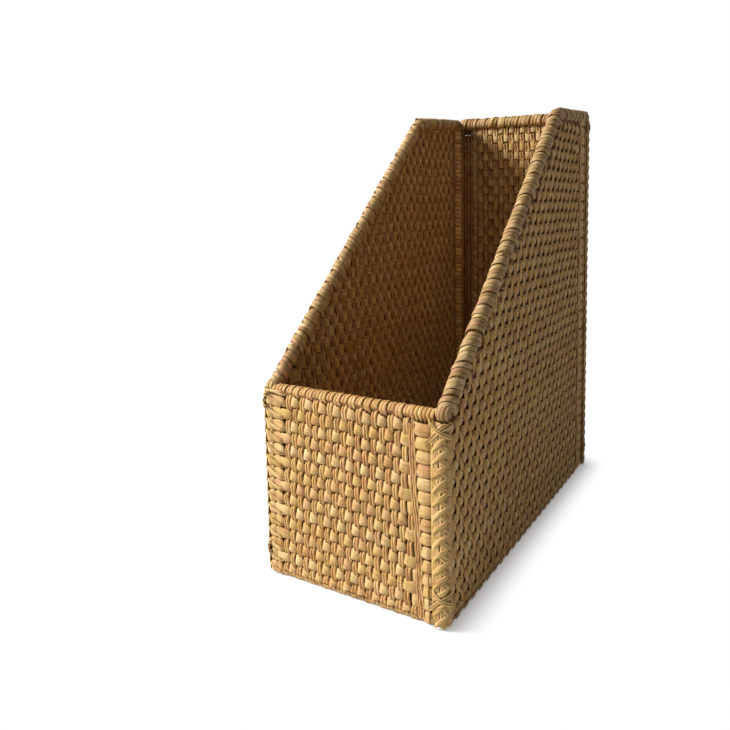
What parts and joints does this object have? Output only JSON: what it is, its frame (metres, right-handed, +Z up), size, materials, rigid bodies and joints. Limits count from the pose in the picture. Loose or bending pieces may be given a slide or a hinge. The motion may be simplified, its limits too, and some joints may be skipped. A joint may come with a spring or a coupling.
{
  "type": "magazine basket",
  "caption": "Woven rattan magazine basket, an open-topped upright box with a low front, sides that slope up to a high back, and rims wound with peel.",
  "frame": {"origin": "middle of the footprint, on the floor", "axes": "+Z up, the low front towards -Y, +X to the right seen from the front"},
  "size_m": [0.126, 0.252, 0.3],
  "materials": {
    "woven_wall": "satin",
    "pole": "satin",
    "peel": "satin"
  },
  "bodies": {
    "root": {"front_wall": "woven_wall", "back_wall": "woven_wall", "right_side_wall": "woven_wall", "left_side_wall": "woven_wall", "base_panel": "woven_wall", "front_frame_pole": "pole", "back_frame_pole": "pole", "right_base_pole": "pole", "left_base_pole": "pole", "right_rim_pole": "pole", "left_rim_pole": "pole", "front_rim_pole": "pole", "back_rim_pole": "pole", "right_slope_winding": "peel", "left_slope_winding": "peel", "right_top_winding": "peel", "left_top_winding": "peel", "front_rim_winding": "peel", "back_rim_winding": "peel", "front_left_corner_lacing": "peel", "front_left_top_tie": "peel", "front_left_bottom_tie": "peel", "front_right_corner_lacing": "peel", "front_right_top_tie": "peel", "front_right_bottom_tie": "peel", "back_left_corner_lacing": "peel", "back_left_top_tie": "peel", "back_left_bottom_tie": "peel", "back_right_corner_lacing": "peel", "back_right_top_tie": "peel", "back_right_bottom_tie": "peel", "front_base_binding": "peel", "back_base_binding": "peel", "right_base_binding": "peel", "left_base_binding": "peel"}
  },
  "joints": []
}
